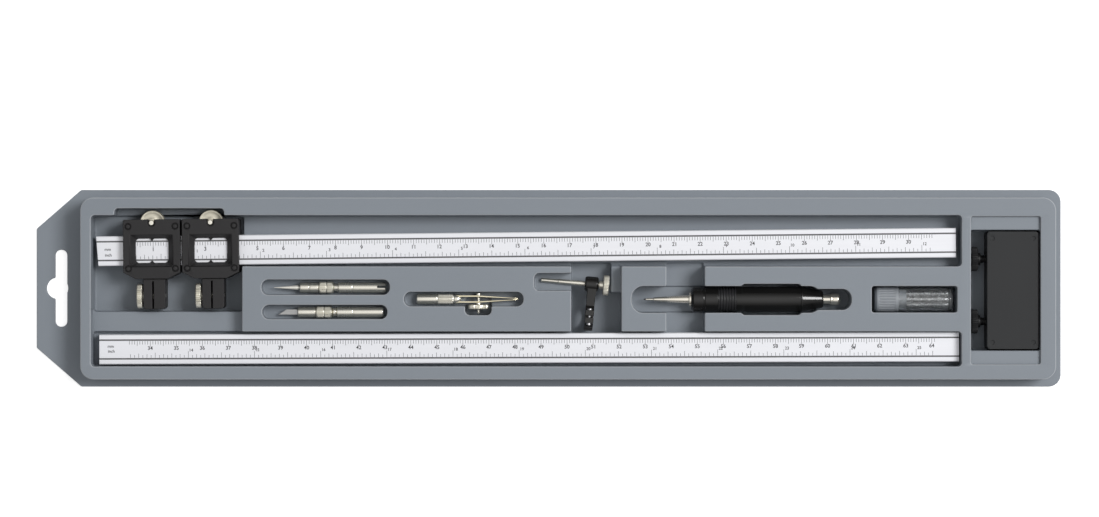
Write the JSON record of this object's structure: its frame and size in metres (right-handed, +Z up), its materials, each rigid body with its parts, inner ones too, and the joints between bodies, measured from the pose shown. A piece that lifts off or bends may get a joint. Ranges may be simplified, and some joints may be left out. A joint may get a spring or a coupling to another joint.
{
  "type": "beam compass",
  "caption": "Beam compass set: scale beams that join end to end, sliding heads with roller drive and tool clamps, coupler, inserts, pencil and leads in a moulded tray.",
  "frame": {"origin": "middle of the bottom of the tray", "axes": "+X along the beams, away from the hang tab; +Y towards the rollers; +Z up out of the tray"},
  "size_m": [0.3956, 0.076, 0.0145],
  "materials": {
    "tray_plastic": "matte moulded grey sheet",
    "beam_aluminium": "satin anodised extrusion with engraved scales",
    "head_plastic": "matte graphite moulding",
    "coupler_plastic": "matte graphite moulding",
    "nickel": "nickel-plated brass, turned",
    "nickel_knurled": "nickel-plated brass, knurled",
    "chrome": "polished chrome plate",
    "steel": "plain steel",
    "blade_steel": "ground blade steel",
    "blade_gold": "plated spring steel, warm",
    "brass": "turned brass",
    "black_gloss": "glossy black moulding",
    "grip_rubber": "soft black finned sleeve",
    "graphite": "graphite lead",
    "tube_clear": "clear moulded tube",
    "tube_cap_plastic": "frosted ribbed cap",
    "shoe_nylon": "nylon pressure shoe"
  },
  "bodies": {
    "tray": {"tray": "tray_plastic"},
    "upper_beam": {"upper_beam": "beam_aluminium"},
    "head_a": {"head_a_front": "head_plastic", "head_a_back": "head_plastic", "head_a_screws": "steel", "head_a_shoe": "shoe_nylon", "head_a_spring": "steel"},
    "roller_a": {"roller_a": "nickel_knurled", "axle_a": "nickel"},
    "clamp_screw_a": {"clamp_screw_a": "nickel_knurled"},
    "head_b": {"head_b_front": "head_plastic", "head_b_back": "head_plastic", "head_b_screws": "steel", "head_b_shoe": "shoe_nylon", "head_b_spring": "steel"},
    "roller_b": {"roller_b": "nickel_knurled", "axle_b": "nickel"},
    "clamp_screw_b": {"clamp_screw_b": "nickel_knurled"},
    "lower_beam": {"lower_beam": "beam_aluminium"},
    "coupler": {"coupler_base": "coupler_plastic", "coupler_cover": "coupler_plastic", "coupler_screws": "steel", "coupler_gib": "brass"},
    "coupler_knob_1": {"coupler_knob_1": "black_gloss"},
    "coupler_knob_2": {"coupler_knob_2": "black_gloss"},
    "needle": {"needle_shank": "nickel", "needle_point": "steel"},
    "needle_collar": {"needle_collar": "nickel_knurled"},
    "knife": {"knife_shank": "nickel", "knife_blade": "blade_steel"},
    "knife_collar": {"knife_collar": "nickel_knurled"},
    "ruling_pen": {"pen_handle": "nickel", "pen_blade_left": "blade_gold", "pen_blade_right": "blade_gold", "pen_screw": "nickel"},
    "pen_nut": {"pen_nut": "nickel_knurled"},
    "adapter": {"adapter_rod": "nickel", "adapter_holder": "black_gloss", "adapter_pinch_screw": "steel"},
    "adapter_thumb_screw": {"adapter_thumb_screw": "nickel_knurled"},
    "pencil": {"pencil_tip": "chrome", "pencil_barrel": "black_gloss", "pencil_grip": "grip_rubber", "pencil_rear": "black_gloss"},
    "pencil_button": {"pencil_button": "chrome", "pencil_clutch": "brass", "pencil_lead": "graphite"},
    "lead_tube": {"tube_body": "tube_clear", "spare_leads": "graphite"},
    "tube_cap": {"tube_cap": "tube_cap_plastic"}
  },
  "joints": [
    {"name": "upper_beam_lift", "type": "slide", "parent": "tray", "child": "upper_beam", "axis": [0, 0, 1], "range_m": [0, 0.04]},
    {"name": "head_a_slide", "type": "slide", "parent": "upper_beam", "child": "head_a", "axis": [1, 0.0099, 0], "range_m": [-0.0095, 0]},
    {"name": "roller_a_turn", "type": "hinge", "parent": "head_a", "child": "roller_a", "pos_m": [-0.1523, 0.02515, 0.0076], "axis": [0, 0, 1], "continuous": true},
    {"name": "clamp_screw_a_turn", "type": "hinge", "parent": "head_a", "child": "clamp_screw_a", "pos_m": [-0.15202, -0.0029, 0.0092], "axis": [1, 0.0099, 0], "continuous": true},
    {"name": "head_b_slide", "type": "slide", "parent": "upper_beam", "child": "head_b", "axis": [1, 0.0099, 0], "range_m": [0, 0.0008]},
    {"name": "roller_b_turn", "type": "hinge", "parent": "head_b", "child": "roller_b", "pos_m": [-0.12975, 0.02538, 0.0076], "axis": [0, 0, 1], "continuous": true},
    {"name": "clamp_screw_b_turn", "type": "hinge", "parent": "head_b", "child": "clamp_screw_b", "pos_m": [-0.12947, -0.00267, 0.0092], "axis": [1, 0.0099, 0], "continuous": true},
    {"name": "lower_beam_lift", "type": "slide", "parent": "tray", "child": "lower_beam", "axis": [0, 0, 1], "range_m": [0, 0.04]},
    {"name": "coupler_lift", "type": "slide", "parent": "tray", "child": "coupler", "axis": [0, 0, 1], "range_m": [0, 0.04]},
    {"name": "coupler_knob_1_turn", "type": "hinge", "parent": "coupler", "child": "coupler_knob_1", "pos_m": [0.1651, 0.0113, 0.0071], "axis": [1, 0, 0], "continuous": true},
    {"name": "coupler_knob_2_turn", "type": "hinge", "parent": "coupler", "child": "coupler_knob_2", "pos_m": [0.1651, -0.0127, 0.0071], "axis": [1, 0, 0], "continuous": true},
    {"name": "needle_lift", "type": "slide", "parent": "tray", "child": "needle", "axis": [0, 0, 1], "range_m": [0, 0.04]},
    {"name": "needle_collar_turn", "type": "hinge", "parent": "needle", "child": "needle_collar", "pos_m": [-0.0855, 0.00035, 0.01061], "axis": [1, 0, 0], "continuous": true},
    {"name": "knife_lift", "type": "slide", "parent": "tray", "child": "knife", "axis": [0, 0, 1], "range_m": [0, 0.04]},
    {"name": "knife_collar_turn", "type": "hinge", "parent": "knife", "child": "knife_collar", "pos_m": [-0.0868, -0.00905, 0.01061], "axis": [1, 0, 0], "continuous": true},
    {"name": "ruling_pen_lift", "type": "slide", "parent": "tray", "child": "ruling_pen", "axis": [0, 0, 1], "range_m": [0, 0.04]},
    {"name": "pen_nut_turn", "type": "hinge", "parent": "ruling_pen", "child": "pen_nut", "pos_m": [-0.027, -0.00405, 0.0102], "axis": [0, 1, 0], "continuous": true},
    {"name": "adapter_lift", "type": "slide", "parent": "tray", "child": "adapter", "axis": [0, 0, 1], "range_m": [0, 0.04]},
    {"name": "adapter_thumb_screw_turn", "type": "hinge", "parent": "adapter", "child": "adapter_thumb_screw", "pos_m": [0.0139, 0.00185, 0.00915], "axis": [0.9963, -0.0854, 0], "continuous": true},
    {"name": "pencil_lift", "type": "slide", "parent": "tray", "child": "pencil", "axis": [0, 0, 1], "range_m": [0, 0.04]},
    {"name": "pencil_button_push", "type": "slide", "parent": "pencil", "child": "pencil_button", "axis": [-1, 0, 0], "range_m": [0, 0.0025], "stiffness_N_per_m": 250, "springref_m": -0.001},
    {"name": "lead_tube_lift", "type": "slide", "parent": "tray", "child": "lead_tube", "axis": [0, 0, 1], "range_m": [0, 0.04]},
    {"name": "tube_cap_turn", "type": "hinge", "parent": "lead_tube", "child": "tube_cap", "pos_m": [0.1292, -0.00415, 0.00755], "axis": [1, 0, 0], "continuous": true}
  ],
  "couplings": [
    {"joint": "roller_a_turn", "follows": "head_a_slide", "rad_per_m": -204.08},
    {"joint": "roller_b_turn", "follows": "head_b_slide", "rad_per_m": -204.08}
  ]
}
